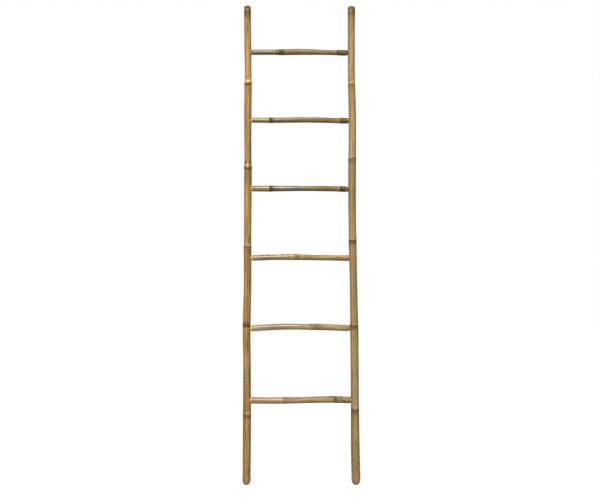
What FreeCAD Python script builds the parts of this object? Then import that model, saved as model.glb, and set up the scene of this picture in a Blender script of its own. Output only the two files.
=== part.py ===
import FreeCAD, Part
from collections import namedtuple
import os
import Sketcher

# A bamboo blanket ladder: two upright poles, six rungs and the brads that pin their joints.
# Frame: +Z up, the ladder's width along X, its front towards -Y, the floor at Z = 0,
# and X = 0, Y = 0 in the middle between the two feet. Sizes are in millimetres.
#
# A culm is a hollow cane. At each node a wall of wood, the diaphragm, closes it, and a sharp
# scar ring and a soft ridge above it stand out all round. Every culm here runs from its root
# end to its tip end along its body's own Z axis: the poles upwards from the floor, the rungs
# from the right pole to the left one. A cane is never quite straight, so its middle line bends
# at stations, and its body's own X axis is the direction of that shift.

# ---------------------------------------------------------------- driving dimensions
SIZES = {
    # poles: outside radius at the floor and at the ladder's height, with an even taper between
    "ladder_height": 1900.0,
    "left_pole_root_radius": 16.6,
    "left_pole_tip_radius": 13.6,
    "left_pole_foot_from_middle": 217.6,
    "left_pole_length": 1900.0,
    "right_pole_root_radius": 17.3,
    "right_pole_tip_radius": 14.1,
    "right_pole_foot_from_middle": 217.1,
    "right_pole_length": 1898.0,
    "foot_flat_radius": 4.5,
    "foot_dome_length": 22.0,
    "tip_rounding": 9.5,
    # nodes and hollows: a hollow's radius is a share of the culm's outside radius
    "node_half_length": 8.0,
    "pole_node_swell": 0.75,
    "rung_node_swell": 0.45,
    "diaphragm_thickness": 6.0,
    "pole_hollow_share": 0.52,
    "rung_hollow_share": 0.38,
    # joints: the shaved end of a rung fills a socket drilled through the pole's near wall
    "tenon_past_pole_middle": 4.0,
    "shoulder_length": 10.0,
    "shoulder_gap": 0.8,
    # brads, driven from the back, a little to the ladder's side of the pole's middle line
    "brad_from_pole_middle": 1.5,
    "brad_length": 22.0,
    "brad_shank_radius": 0.9,
    "brad_head_radius": 1.9,
    "brad_head_thickness": 1.0,
    "brad_head_sunk": 0.8,
    "brad_point_length": 2.2,
}

# Each pole: nodes and bends as (height, shift towards +X from the foot's middle).
POLES = {
    "left_pole": {
        "side": -1,
        "nodes": [(24, 0.0), (282, 2.0), (635, 1.0), (943, 4.4), (1268, 6.0), (1594, 6.4), (1880, 4.2)],
        "bends": [(785, 4.4), (1430, 5.3)],
    },
    "right_pole": {
        "side": 1,
        "nodes": [(26, -0.3), (304, -4.1), (630, -7.1), (970, -13.5), (1296, -15.0), (1588, -17.7),
                  (1880, -18.2)],
        "bends": [(805, -9.9), (1465, -14.4)],
    },
}

# Each rung: its height, how far the poles' middle lines are from the ladder's middle there, the
# socket's radius, and its stations. A station's place is measured from the ladder's middle
# towards the left pole, and its rise from the rung's height. Nodes are (place, rise, radius on
# the root side, radius on the tip side), bends (place, rise, radius), and the two ends, where
# the shoulders begin, (rise, radius).
RUNGS = {
    "rung_1": {
        "height": 1715, "to_left_pole": 212.0, "to_right_pole": 199.2, "socket_radius": 9.0,
        "root": (-1.4, 11.8), "tip": (0.5, 10.6),
        "nodes": [(-154, -0.7, 11.7, 10.6), (82, 1.0, 11.9, 10.7)],
        "bends": [(-20, 2.2, 12.0)],
    },
    "rung_2": {
        "height": 1445, "to_left_pole": 212.2, "to_right_pole": 202.6, "socket_radius": 9.0,
        "root": (-1.0, 11.9), "tip": (1.0, 10.5),
        "nodes": [(-153, -0.3, 11.8, 10.6), (120, 0.8, 10.9, 10.8)],
        "bends": [(-38, 2.5, 11.3)],
    },
    "rung_3": {
        "height": 1174, "to_left_pole": 212.1, "to_right_pole": 202.7, "socket_radius": 9.0,
        "root": (-1.1, 12.0), "tip": (0.7, 11.9),
        "nodes": [(-152, -0.2, 11.9, 11.0), (120, 0.7, 11.8, 12.1)],
        "bends": [(-40, 1.9, 11.5)],
    },
    "rung_4": {
        "height": 900, "to_left_pole": 213.2, "to_right_pole": 205.1, "socket_radius": 9.0,
        "root": (-0.3, 12.4), "tip": (-0.2, 11.8),
        "nodes": [(23, 3.4, 12.4, 12.6)],
        "bends": [(-62, 1.3, 11.3), (115, 2.0, 11.3)],
    },
    "rung_5": {
        "height": 621, "to_left_pole": 216.5, "to_right_pole": 210.1, "socket_radius": 9.0,
        "root": (0.6, 13.1), "tip": (-0.6, 12.3),
        "nodes": [(-44, 5.4, 13.0, 12.7)],
        "bends": [(-100, 4.4, 13.0), (90, 5.4, 12.6)],
    },
    "rung_6": {
        "height": 336, "to_left_pole": 215.8, "to_right_pole": 212.7, "socket_radius": 11.5,
        "root": (0.4, 14.0), "tip": (-1.2, 13.6),
        "nodes": [(-134, 2.3, 14.1, 14.0), (69, -1.5, 13.6, 13.7)],
        "bends": [(-14, -0.2, 12.8), (120, -2.4, 13.4)],
    },
}

# A node's outline, as (place in half lengths from the node, share of the swell).
NODE_OUTLINE = [(-1.0, 0.0), (-0.30, 0.25), (-0.12, 1.0), (0.10, 0.35), (0.45, 0.75), (1.0, 0.0)]
# A shaved shoulder's outline, as (share of its length, share of the step in radius).
SHOULDER_OUTLINE = [(0.0, 0.0), (0.18, 0.5), (0.5, 0.82), (1.0, 1.0)]
# Straight runs in the outline of a pole's rounded foot or tip.
ROUND_STEPS = 5
# Cutting depths that leave the wood for certain.
THROUGH_POLE = 45.0
CLEAR_OF_POLE = 8.0
LEAST_CUT = 3.0  # cubic millimetres that the smallest hole takes away

ORIGIN = FreeCAD.Vector(0, 0, 0)
X_AXIS = FreeCAD.Vector(1, 0, 0)
Y_AXIS = FreeCAD.Vector(0, 1, 0)
Z_AXIS = FreeCAD.Vector(0, 0, 1)
RUNG_TURN = FreeCAD.Rotation(Y_AXIS, -90)
BRAD_TURN = FreeCAD.Rotation(X_AXIS, 90)
# Every circle is turned, so that no seam of a round face runs where a hole crosses that face.
SEAM_TURN = FreeCAD.Rotation(Z_AXIS, 35)

# A place on a culm where it may bend: order sorts the stations, and the rest are expressions.
Station = namedtuple("Station", "order along shift before after is_node")

# ---------------------------------------------------------------- the sheet of sizes
doc = FreeCAD.newDocument("blanket_ladder")
sheet = doc.addObject("Spreadsheet::Sheet", "Sizes")
aliases = []


def cell(alias, value):
    """Put one number in the sheet under a name, and give back the expression that reads it."""
    aliases.append(alias)
    row = len(aliases)
    sheet.set("A%d" % row, alias)
    sheet.set("B%d" % row, "%g" % value)
    sheet.setAlias("B%d" % row, alias)
    return "Sizes." + alias


def pole_radius(pole, height):
    """A pole's outside radius at a height."""
    root = S[pole + "_root_radius"]
    tip = S[pole + "_tip_radius"]
    return "(%s + (%s - %s) * (%s) / %s)" % (root, tip, root, height, S["ladder_height"])


def pole_stations(pole):
    stations = []
    for kind in ("nodes", "bends"):
        for number, (height, shift) in enumerate(POLES[pole][kind], start=1):
            stem = "%s_%s_%d" % (pole, kind[:-1], number)
            along = cell(stem + "_height", height)
            radius = pole_radius(pole, along)
            stations.append(Station(height, along, cell(stem + "_shift", shift), radius, radius,
                                    kind == "nodes"))
    return sorted(stations)


def rung_stations(rung):
    stations = []
    for number, (place, rise, before, after) in enumerate(RUNGS[rung]["nodes"], start=1):
        stem = "%s_node_%d" % (rung, number)
        stations.append(Station(place, cell(stem + "_place", place), cell(stem + "_rise", rise),
                                cell(stem + "_root_side_radius", before),
                                cell(stem + "_tip_side_radius", after), True))
    for number, (place, rise, radius) in enumerate(RUNGS[rung]["bends"], start=1):
        stem = "%s_bend_%d" % (rung, number)
        width = cell(stem + "_radius", radius)
        stations.append(Station(place, cell(stem + "_place", place), cell(stem + "_rise", rise),
                                width, width, False))
    return sorted(stations)


def rung_cells(rung):
    cells = {}
    for key in ("height", "to_left_pole", "to_right_pole", "socket_radius"):
        cells[key] = cell("%s_%s" % (rung, key), RUNGS[rung][key])
    for end in ("root", "tip"):
        rise, radius = RUNGS[rung][end]
        cells[end] = (cell("%s_%s_rise" % (rung, end), rise), cell("%s_%s_radius" % (rung, end), radius))
    return cells


S = {alias: cell(alias, value) for alias, value in SIZES.items()}
R = {rung: rung_cells(rung) for rung in RUNGS}
STATIONS = {pole: pole_stations(pole) for pole in POLES}
STATIONS.update({rung: rung_stations(rung) for rung in RUNGS})
doc.recompute()
cuts = []


# ---------------------------------------------------------------- sketches and features
def circle(body, name, role, radius, offset):
    """A circle on one of the body's own origin planes, set off by three expressions."""
    plane = [feature for feature in body.Origin.OriginFeatures if feature.Role == role][0]
    sketch = body.newObject("Sketcher::SketchObject", name)
    sketch.AttachmentSupport = [(plane, "")]
    sketch.MapMode = "FlatFace"
    sketch.AttachmentOffset = FreeCAD.Placement(ORIGIN, SEAM_TURN)
    ring = sketch.addGeometry(Part.Circle(ORIGIN, Z_AXIS, 10.0), False)
    sketch.addConstraint(Sketcher.Constraint("Coincident", ring, 3, -1, 1))
    limit = sketch.addConstraint(Sketcher.Constraint("Radius", ring, 10.0))
    sketch.renameConstraint(limit, "radius")
    sketch.setExpression("Constraints.radius", radius)
    for axis, expression in zip("xyz", offset):
        sketch.setExpression("AttachmentOffset.Base." + axis, expression)
    return sketch


def loft(body, name, kind, sections):
    """A loft of straight runs through circles, each given as (along, shift, radius)."""
    rings = []
    for number, (along, shift, radius) in enumerate(sections, start=1):
        rings.append(circle(body, "%s_ring_%d" % (name, number), "XY_Plane", radius, (shift, "0", along)))
    feature = body.newObject(kind, name)
    feature.Profile = rings[0]
    feature.Sections = [(ring, [""]) for ring in rings[1:]]
    feature.Ruled = True
    return feature


def hole(body, name, role, radius, offset, depth, reverse=False):
    """A round hole, from a plane inside the wood out to the open air."""
    before = body.Tip
    sketch = circle(body, name + "_ring", role, radius, offset)
    feature = body.newObject("PartDesign::Pocket", name)
    feature.Profile = sketch
    feature.Length = depth
    feature.Reversed = reverse
    cuts.append((before, feature))


def finish(body, name, place, turn=FreeCAD.Rotation()):
    """Name the piece and set it in the ladder; place is three expressions."""
    body.Label = name
    body.Placement = FreeCAD.Placement(ORIGIN, turn)
    for axis, expression in zip("xyz", place):
        body.setExpression("Placement.Base." + axis, expression)
    return body


def node_sections(station, swell):
    """The scar ring and the ridge of one node."""
    sections = []
    for step, share in NODE_OUTLINE:
        radius = station.before if step < 0 else station.after
        along = "%s + %g * %s" % (station.along, step, S["node_half_length"])
        sections.append((along, station.shift, "%s + %g * %s" % (radius, share, swell)))
    return sections


def hollow_out(body, stations, share):
    """Clear the culm between each diaphragm and the next."""
    half_wall = "0.5 * " + S["diaphragm_thickness"]
    walls = [index for index, station in enumerate(stations) if station.is_node]
    for number, (first, last) in enumerate(zip(walls, walls[1:]), start=1):
        sections = []
        for index in range(first, last + 1):
            along = stations[index].along
            if index == first:
                along += " + " + half_wall
            if index == last:
                along += " - " + half_wall
            sections.append((along, stations[index].shift, "%s * %s" % (stations[index].before, share)))
        before = body.Tip
        cuts.append((before, loft(body, "hollow_%d" % number, "PartDesign::SubtractiveLoft", sections)))


def end_edge(feature, which):
    """The name of the edge round the first or the last end of a piece that runs along Z."""
    heights = [edge.CenterOfMass.z for edge in feature.Shape.Edges]
    height = min(heights) if which == "first" else max(heights)
    return "Edge%d" % (heights.index(height) + 1)


# ---------------------------------------------------------------- poles
def foot_sections(pole):
    """From the small flat that stands on the floor up to the full radius."""
    flat = S["foot_flat_radius"]
    sections = []
    for step in range(ROUND_STEPS):
        angle = 90.0 * step / ROUND_STEPS
        along = "%s * (1 - cos(%g deg))" % (S["foot_dome_length"], angle)
        radius = "%s + (%s - %s) * sin(%g deg)" % (flat, S[pole + "_root_radius"], flat, angle)
        sections.append((along, "0", radius))
    return sections


def tip_sections(pole, shift):
    """The sawn tip, rounded over."""
    length = S[pole + "_length"]
    rounding = S["tip_rounding"]
    sections = []
    for step in range(1, ROUND_STEPS + 1):
        angle = 90.0 * step / ROUND_STEPS
        along = "%s - %s * (1 - sin(%g deg))" % (length, rounding, angle)
        radius = "%s - %s * (1 - cos(%g deg))" % (pole_radius(pole, length), rounding, angle)
        sections.append((along, shift, radius))
    return sections


def make_pole(pole):
    side = POLES[pole]["side"]
    stations = STATIONS[pole]
    body = doc.addObject("PartDesign::Body", pole)
    sections = foot_sections(pole)
    for number, station in enumerate(stations):
        if not station.is_node:
            sections.append((station.along, station.shift, station.before))
        elif number == 0:
            sections.extend(node_sections(station, S["pole_node_swell"])[2:])
        else:
            sections.extend(node_sections(station, S["pole_node_swell"]))
    sections.extend(tip_sections(pole, stations[-1].shift))
    loft(body, "culm", "PartDesign::AdditiveLoft", sections)
    hollow_out(body, stations, S["pole_hollow_share"])

    foot = S[pole + "_foot_from_middle"]
    for rung in RUNGS:
        height = R[rung]["height"]
        middle = "%d * (%s - %s)" % (side, R[rung]["to_" + pole], foot)
        socket_end = "%s + %d * %s" % (middle, side, S["tenon_past_pole_middle"])
        hole(body, "socket_" + rung, "YZ_Plane", R[rung]["socket_radius"], ("0", height, socket_end),
             THROUGH_POLE, reverse=(side < 0))
        # the plane for the brad faces the front, so what lies behind it has a negative offset
        brad = "%s - %d * %s" % (middle, side, S["brad_from_pole_middle"])
        head = "%s - %s" % (S["brad_head_sunk"], pole_radius(pole, height))
        point = "%s + %s" % (head, S["brad_length"])
        hole(body, "brad_hole_" + rung, "XZ_Plane", S["brad_shank_radius"], (brad, height, point),
             THROUGH_POLE)
        hole(body, "brad_seat_" + rung, "XZ_Plane", S["brad_head_radius"], (brad, height, head),
             CLEAR_OF_POLE)
    return finish(body, pole, ("%d * %s" % (side, foot), "0", "0"))


# ---------------------------------------------------------------- rungs
def rung_end_sections(rung, pole, end):
    """A rung's shaved end, from the end of its tenon to where its shoulder begins."""
    towards = -POLES[pole]["side"]
    reach = R[rung]["to_" + pole]
    tenon = R[rung]["socket_radius"]
    rise, radius = R[rung][end]
    sections = [("%d * (%s + %s)" % (towards, reach, S["tenon_past_pole_middle"]), "0", tenon)]
    for share, step in SHOULDER_OUTLINE:
        off_pole = "%s + %s + %g * %s" % (pole_radius(pole, R[rung]["height"]), S["shoulder_gap"],
                                          share, S["shoulder_length"])
        along = "%d * (%s - (%s))" % (towards, reach, off_pole)
        width = "%s + %g * (%s - %s)" % (tenon, step, radius, tenon)
        sections.append((along, "%g * %s" % (step, rise), width))
    return sections


def make_rung(rung):
    stations = STATIONS[rung]
    tenon = R[rung]["socket_radius"]
    body = doc.addObject("PartDesign::Body", rung)
    root_end = rung_end_sections(rung, "right_pole", "root")
    tip_end = rung_end_sections(rung, "left_pole", "tip")
    sections = list(root_end)
    for station in stations:
        if station.is_node:
            sections.extend(node_sections(station, S["rung_node_swell"]))
        else:
            sections.append((station.along, station.shift, station.before))
    sections.extend(reversed(tip_end))
    loft(body, "culm", "PartDesign::AdditiveLoft", sections)

    # the first and the last hollow run out through the sawn ends
    past = S["diaphragm_thickness"]
    root = Station(0, "%s - %s" % (root_end[0][0], past), "0", tenon, tenon, True)
    tip = Station(0, "%s + %s" % (tip_end[0][0], past), "0", tenon, tenon, True)
    hollow_out(body, [root] + stations + [tip], S["rung_hollow_share"])

    for pole in POLES:
        towards = -POLES[pole]["side"]
        place = "%d * (%s - %s)" % (towards, R[rung]["to_" + pole], S["brad_from_pole_middle"])
        head = "%s - %s" % (S["brad_head_sunk"], pole_radius(pole, R[rung]["height"]))
        point = "%s + %s" % (head, S["brad_length"])
        hole(body, "brad_hole_" + pole, "XZ_Plane", S["brad_shank_radius"], ("0", place, point),
             THROUGH_POLE)
    return finish(body, rung, ("0", "0", R[rung]["height"]), RUNG_TURN)


# ---------------------------------------------------------------- brads
def make_brad(rung, pole):
    """A small round-headed nail; its own Z axis runs from under the head to the point."""
    side = POLES[pole]["side"]
    name = "brad_%s_%s" % (rung.split("_")[1], pole.split("_")[0])
    body = doc.addObject("PartDesign::Body", name)
    shank = body.newObject("PartDesign::Pad", "shank")
    shank.Profile = circle(body, "shank_ring", "XY_Plane", S["brad_shank_radius"], ("0", "0", "0"))
    shank.setExpression("Length", S["brad_length"])
    body.recompute(True)
    point = body.newObject("PartDesign::Chamfer", "point")
    point.Base = (shank, [end_edge(shank, "last")])
    point.ChamferType = "Two distances"
    point.setExpression("Size", S["brad_point_length"])
    point.setExpression("Size2", "0.8 * " + S["brad_shank_radius"])
    head = body.newObject("PartDesign::Pad", "head")
    head.Profile = circle(body, "head_ring", "XY_Plane", S["brad_head_radius"], ("0", "0", "0"))
    head.setExpression("Length", S["brad_head_thickness"])
    head.Reversed = True
    body.recompute(True)
    rim = body.newObject("PartDesign::Fillet", "rim")
    rim.Base = (head, [end_edge(head, "first")])
    rim.setExpression("Radius", "0.6 * " + S["brad_head_thickness"])
    place = "%d * (%s - %s)" % (side, R[rung]["to_" + pole], S["brad_from_pole_middle"])
    seat = "%s - %s" % (pole_radius(pole, R[rung]["height"]), S["brad_head_sunk"])
    return finish(body, name, (place, seat, R[rung]["height"]), BRAD_TURN)


# ---------------------------------------------------------------- the ladder
bodies = [make_brad(rung, pole) for rung in RUNGS for pole in POLES]
bodies += [make_rung(rung) for rung in RUNGS]
bodies += [make_pole(pole) for pole in POLES]
doc.recompute()

faults = [thing.Name for thing in doc.Objects if "Invalid" in thing.State or "Error" in thing.State]
for body in bodies:
    if body.Shape.isNull() or not body.Shape.isValid() or len(body.Shape.Solids) != 1:
        faults.append(body.Label)
for before, feature in cuts:
    if before.Shape.Volume - feature.Shape.Volume < LEAST_CUT:
        faults.append("%s (cuts nothing)" % feature.Name)
if faults:
    raise RuntimeError("these objects failed: " + ", ".join(faults))

os.makedirs("parts", exist_ok=True)
for body in bodies:
    body.Shape.exportStep(os.path.join("parts", body.Label + ".step"))
    print("%-14s %9.0f mm3" % (body.Label, body.Shape.Volume))
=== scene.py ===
import math
from collections import namedtuple

import bmesh
import bpy
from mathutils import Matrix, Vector


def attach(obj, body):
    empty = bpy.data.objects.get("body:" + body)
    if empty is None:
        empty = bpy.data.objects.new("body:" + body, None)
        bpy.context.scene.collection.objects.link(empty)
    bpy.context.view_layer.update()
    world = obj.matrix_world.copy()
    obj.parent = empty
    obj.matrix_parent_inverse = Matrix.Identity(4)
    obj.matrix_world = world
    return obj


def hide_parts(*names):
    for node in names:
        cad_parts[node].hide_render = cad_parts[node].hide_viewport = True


# A bamboo blanket ladder: two poles, six rungs, and a brad through the back of every joint.
# The ladder's sizes are in millimetres, and MM turns them into metres. The studio's are in metres.
# A culm's node is called a knuckle here: a thin scar ring with a soft ridge on its tip side.
# Every cane has its own coordinates: a place along it, growing from root to tip, and a bearing
# round it, where 0 degrees faces the front and 90 degrees faces right on a pole and up on a rung.
# A girth is a radius.

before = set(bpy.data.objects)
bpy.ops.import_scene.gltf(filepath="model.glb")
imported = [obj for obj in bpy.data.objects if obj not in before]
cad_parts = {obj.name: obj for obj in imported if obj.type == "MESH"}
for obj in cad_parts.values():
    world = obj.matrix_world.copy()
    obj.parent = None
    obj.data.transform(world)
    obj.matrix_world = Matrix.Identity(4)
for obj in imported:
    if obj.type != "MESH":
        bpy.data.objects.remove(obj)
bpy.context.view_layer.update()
MM = 0.001


# ------------------------------------------------------------------ wiring
class Wire:
    """One output of a node. Sums written with wires add the Math nodes that work them out."""

    def __init__(self, bench, socket):
        self.bench = bench
        self.socket = socket

    def __add__(self, other):
        return self.bench.sum("ADD", self, other)

    def __radd__(self, other):
        return self.bench.sum("ADD", other, self)

    def __sub__(self, other):
        return self.bench.sum("SUBTRACT", self, other)

    def __rsub__(self, other):
        return self.bench.sum("SUBTRACT", other, self)

    def __mul__(self, other):
        return self.bench.sum("MULTIPLY", self, other)

    def __rmul__(self, other):
        return self.bench.sum("MULTIPLY", other, self)

    def __truediv__(self, other):
        return self.bench.sum("DIVIDE", self, other)

    def __neg__(self):
        return self.bench.sum("MULTIPLY", self, -1.0)

    def other(self, name):
        """Another output of the same node."""
        return Wire(self.bench, self.socket.node.outputs[name])


class Bench:
    """A node tree on which nodes are set up and wired together."""

    def __init__(self, tree):
        self.tree = tree

    def add(self, kind, settings=None, sockets=None, out=0):
        """Add a node: its settings first, then a value or a wire for each socket named."""
        node = self.tree.nodes.new(kind)
        for name, value in (settings or {}).items():
            setattr(node, name, value)
        for name, value in (sockets or {}).items():
            if isinstance(value, Wire):
                self.tree.links.new(value.socket, node.inputs[name])
            else:
                node.inputs[name].default_value = value
        return Wire(self, node.outputs[out]) if len(node.outputs) else node

    def sum(self, operation, *values):
        return self.add("ShaderNodeMath", {"operation": operation}, dict(enumerate(values)))

    def vector(self, operation, *values, out=0):
        return self.add("ShaderNodeVectorMath", {"operation": operation}, dict(enumerate(values)), out)

    def dot(self, first, second):
        return self.vector("DOT_PRODUCT", first, second, out=1)

    def combine(self, x, y, z):
        return self.add("ShaderNodeCombineXYZ", None, {0: x, 1: y, 2: z})

    def split(self, vector):
        apart = self.add("ShaderNodeSeparateXYZ", None, {0: vector})
        return apart, apart.other("Y"), apart.other("Z")

    def step(self, value, low, high):
        """0 below low, 1 above high, and a smooth rise between them."""
        return self.add("ShaderNodeMapRange", {"interpolation_type": "SMOOTHSTEP"},
                        {0: value, 1: low, 2: high, 3: 0.0, 4: 1.0})

    def bell(self, value, middle, width):
        """1 at the middle, falling away smoothly on both sides."""
        off = (value - middle) / width
        return self.sum("EXPONENT", -(off * off))

    def noise(self, vector, scale, detail=2.0, roughness=0.5):
        return self.add("ShaderNodeTexNoise", None, {0: vector, 2: scale, 3: detail, 4: roughness})

    def mix(self, share, first, second):
        """A colour between two colours."""
        return self.add("ShaderNodeMix", {"data_type": "RGBA"}, {0: share, 6: first, 7: second}, out=2)


def paint(red, green, blue):
    """A colour written as it looks on a screen, from 0 to 255."""
    def light(level):
        level /= 255.0
        return level / 12.92 if level <= 0.04045 else ((level + 0.055) / 1.055) ** 2.4
    return (light(red), light(green), light(blue), 1.0)


# ------------------------------------------------------------------ sizes of the canes
# A knuckle's looks. Lengths are in millimetres and angles in degrees.
#   place    where its scar ring is       swell   how far its ring and its ridge stand out
#   tilt     how much nearer the tip the ring is at 90 degrees than at 0
#   dip      how far the ring drops towards the root at the bearing called facing, over spread
#   wave     how unevenly the ring runs   bud     how far a trimmed branch stands out at facing
#   stain    how brown the root side is   reach   how far that brown goes
#   lip      how pale the tip side is     line    how dark the ring's own line is
#   second   a second ring's place from the first, towards the tip
#   faint    how strong that second ring is
Knuckle = namedtuple(
    "Knuckle",
    "place swell tilt dip facing spread wave bud stain reach lip line second faint",
    defaults=(0.6, 0.0, 0.0, 0.0, 60.0, 0.6, 0.0, 0.6, 14.0, 0.6, 0.7, 0.0, 0.0),
)

LADDER_HEIGHT = 1900.0

# A pole's lists hold (height, value), from its foot to its tip.
#   side     -1 on the left and 1 on the right of the ladder's middle
#   taper    its girth at the foot and at the ladder's height, as its sockets take it
#   middle   how far right of the ladder's middle its middle line runs
#   tone     how light its colour is, where 1 is its bamboo's own
#   faded    how far its colour has gone to straw
POLES = {
    "left_pole": {
        "side": -1,
        "height": LADDER_HEIGHT,
        "taper": (16.6, 13.6),
        "middle": [(0, -217.6), (150, -216.1), (300, -215.6), (480, -215.6), (598, -217.0), (635, -216.7),
                   (785, -213.2), (943, -213.2), (1268, -211.6), (1430, -212.3), (1594, -211.1),
                   (1880, -213.4), (1900, -213.5)],
        "girth": [(22, 16.6), (42, 15.9), (272, 16.5), (290, 16.2), (622, 15.5), (646, 15.5), (785, 15.1),
                  (934, 15.3), (953, 14.6), (1258, 15.4), (1280, 13.8), (1584, 14.8), (1604, 13.5),
                  (1870, 13.6), (1900, 13.6)],
        "knuckles": [
            Knuckle(24, swell=0.3, stain=0.0, lip=0.0, line=0.0),
            Knuckle(279, swell=0.8, tilt=-3.0, wave=1.3, stain=0.55, reach=24, lip=0.5, line=0.5, second=7,
                    faint=0.25),
            Knuckle(630, swell=1.1, dip=-6.0, spread=42, wave=1.7, stain=0.75, reach=14, lip=0.0, line=1.0,
                    second=11, faint=1.0),
            Knuckle(947, swell=0.7, dip=6.5, facing=14, spread=42, wave=1.2, stain=0.3, reach=12, lip=0.45,
                    line=0.85, second=-13, faint=0.7),
            Knuckle(1258, swell=0.8, wave=2.2, bud=1.5, stain=0.7, reach=14, lip=0.3, line=0.75, second=23,
                    faint=0.8),
            Knuckle(1593, swell=1.0, tilt=1.0, wave=1.1, stain=0.95, reach=13, lip=0.8, line=0.55, second=-14,
                    faint=0.35),
            Knuckle(1874, swell=0.6, wave=1.4, stain=0.35, reach=30, lip=0.3, line=0.4),
        ],
        "tone": [(0, 0.98), (80, 0.74), (180, 0.77), (278, 0.94), (300, 0.84), (380, 0.95), (440, 0.9),
                 (500, 1.1), (560, 0.69), (620, 0.95), (680, 0.79), (760, 0.95), (860, 0.83), (940, 0.79),
                 (950, 0.85), (1040, 0.84), (1100, 0.95), (1160, 0.9), (1220, 0.71), (1270, 0.88),
                 (1340, 0.94), (1400, 0.83), (1460, 0.78), (1530, 1.04), (1580, 0.94), (1600, 1.36),
                 (1650, 1.42), (1700, 1.33), (1760, 0.89), (1830, 0.91), (1868, 0.56), (1900, 0.5)],
        "faded": [(0, 0.2), (60, 0.02), (260, 0.04), (320, 0.12), (440, 0.16), (500, 0.25), (545, 0.03),
                  (680, 0.0), (740, 0.05), (800, 0.0), (860, 0.09), (980, 0.05), (1040, 0.0), (1340, 0.04),
                  (1400, 0.0), (1600, 0.0), (1640, 0.13), (1700, 0.1), (1760, 0.0)],
    },
    "right_pole": {
        "side": 1,
        "height": 1898.0,
        "taper": (17.3, 14.1),
        "middle": [(0, 217.0), (26, 216.7), (130, 214.6), (304, 213.0), (630, 210.0), (805, 207.2),
                   (970, 203.6), (1240, 201.7), (1296, 202.1), (1465, 202.6), (1588, 199.5),
                   (1880, 198.9), (1898, 198.9)],
        "girth": [(22, 17.5), (45, 17.6), (294, 16.6), (314, 16.3), (620, 16.7), (640, 15.9), (812, 14.8),
                  (960, 15.7), (980, 15.0), (1286, 15.6), (1306, 15.2), (1578, 14.4), (1598, 14.1),
                  (1868, 14.3), (1884, 14.6), (1898, 14.5)],
        "knuckles": [
            Knuckle(26, swell=0.3, stain=0.0, lip=0.0, line=0.0),
            Knuckle(310, swell=0.4, dip=9.0, spread=75, wave=0.7, stain=0.85, reach=26, lip=0.6, line=0.25,
                    second=-24, faint=0.35),
            Knuckle(634, swell=0.5, wave=0.8, stain=0.9, reach=22, lip=0.35, line=0.3),
            Knuckle(973, swell=0.7, dip=3.5, spread=90, wave=0.6, stain=1.0, reach=22, lip=0.3, line=0.5),
            Knuckle(1296, swell=0.4, tilt=5.0, wave=0.9, stain=0.75, reach=26, lip=0.35, line=0.3),
            Knuckle(1588, swell=0.5, dip=-4.0, spread=60, wave=0.8, stain=0.55, reach=26, lip=0.9, line=0.25,
                    second=-21, faint=0.3),
            Knuckle(1872, swell=0.9, wave=0.9, stain=0.3, reach=20, lip=0.1, line=0.15),
        ],
        "tone": [(0, 0.93), (80, 0.79), (140, 0.74), (200, 0.88), (260, 0.82), (285, 0.86), (312, 1.11),
                 (387, 1.05), (440, 0.97), (510, 1.06), (628, 0.87), (680, 0.91), (800, 0.92), (860, 0.95),
                 (960, 0.84), (975, 0.99), (1060, 0.91), (1110, 0.77), (1160, 0.74), (1220, 0.87),
                 (1290, 0.84), (1302, 1.05), (1400, 1.05), (1540, 0.96), (1584, 1.07), (1596, 1.2),
                 (1700, 1.19), (1760, 1.0), (1850, 0.84), (1898, 0.64)],
        "faded": [(0, 0.5), (60, 0.1), (260, 0.06), (320, 0.2), (380, 0.22), (440, 0.15), (500, 0.1),
                  (545, 0.0), (1300, 0.0), (1340, 0.15), (1400, 0.1), (1460, 0.0), (1600, 0.06), (1640, 0.15),
                  (1700, 0.2), (1760, 0.15), (1800, 0.0)],
    },
}

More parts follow.
